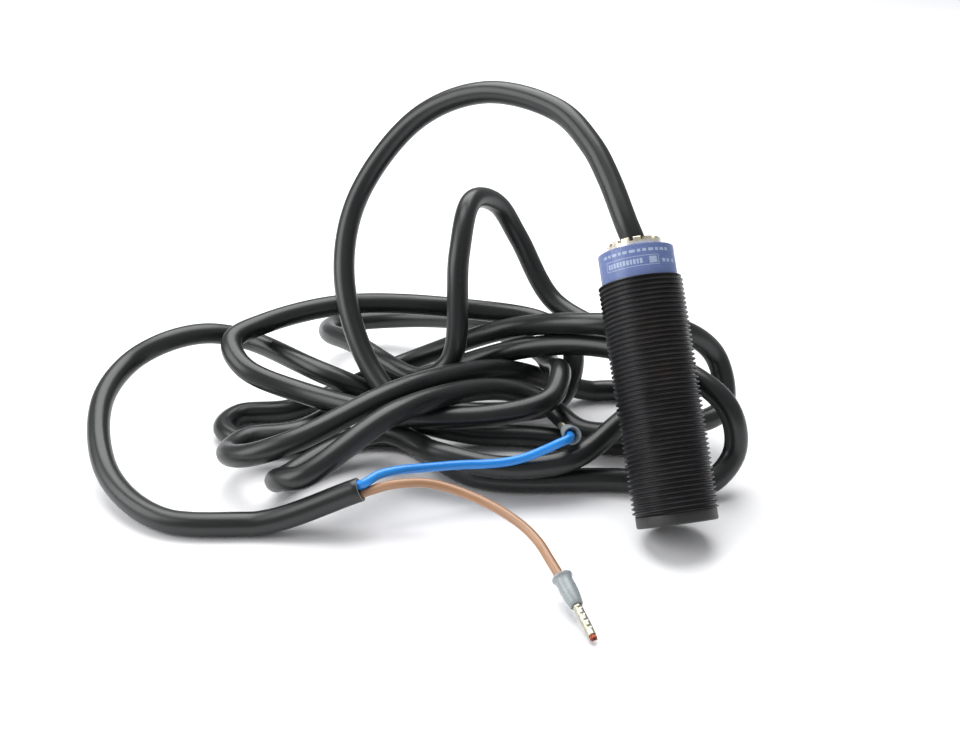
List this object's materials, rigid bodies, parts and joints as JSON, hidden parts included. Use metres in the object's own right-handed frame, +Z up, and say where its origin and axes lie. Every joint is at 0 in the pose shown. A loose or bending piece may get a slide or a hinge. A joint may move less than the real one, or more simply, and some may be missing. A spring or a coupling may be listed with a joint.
{
  "type": "proximity sensor",
  "caption": "Inductive proximity sensor with a threaded M18 plastic barrel, clear rear cover and a long coiled black cable ending in two ferruled cores",
  "frame": {"origin": "centre of the sensing face", "axes": "+X right, +Y away, +Z up"},
  "size_m": [0.15, 0.1344, 0.0808],
  "materials": {
    "face_plastic": "fine matt moulded plastic",
    "barrel_plastic": "satin moulded plastic",
    "clear_cover": "clear glossy plastic",
    "label_blue": "printed film behind a clear cover",
    "ring_brass": "machined, pale, lightly worn",
    "seal_rubber": "matt black rubber",
    "cable_black": "satin extruded sheath",
    "clamp_steel": "plain crimped steel",
    "potting_resin": "cast resin",
    "ferrite_grey": "ground ferrite",
    "bobbin_plastic": "natural moulded plastic",
    "copper": "bare copper, slightly dulled",
    "board_green": "lacquered board",
    "chip_black": "moulded package",
    "varistor_blue": "dipped coating",
    "capacitor_tan": "fired ceramic body",
    "diode_red": "glass body",
    "led_yellow": "clear tinted lens",
    "wire_brown": "satin core insulation",
    "wire_blue": "satin core insulation",
    "solder": "bright solder",
    "collar_grey": "slightly translucent moulded collar",
    "tinned_metal": "tinned and crimped"
  },
  "bodies": {
    "root": {"sensing_face_cap": "face_plastic", "barrel": "barrel_plastic", "rear_cover": "clear_cover", "label_band": "label_blue", "retaining_ring": "ring_brass", "cable_grommet": "seal_rubber", "cover_seal": "seal_rubber", "cable_tail": "cable_black", "cable_clamp": "clamp_steel", "potting_plug": "potting_resin", "ferrite_core": "ferrite_grey", "coil_bobbin": "bobbin_plastic", "coil_winding": "copper", "coil_leads": "copper", "core_holder": "bobbin_plastic", "circuit_board": "board_green", "oscillator_chip": "chip_black", "output_switch": "chip_black", "bridge_rectifier": "chip_black", "surge_suppressor": "varistor_blue", "capacitors": "capacitor_tan", "resistors": "chip_black", "zener_diodes": "diode_red", "status_led": "led_yellow", "brown_inner_lead": "wire_brown", "blue_inner_lead": "wire_blue", "solder_joints": "solder", "cable_sheath": "cable_black", "blue_wire": "wire_blue", "brown_wire": "wire_brown", "blue_ferrule_collar": "collar_grey", "brown_ferrule_collar": "collar_grey", "blue_ferrule_barrel": "tinned_metal", "brown_ferrule_barrel": "tinned_metal", "blue_strands": "copper", "brown_strands": "copper"}
  },
  "joints": []
}
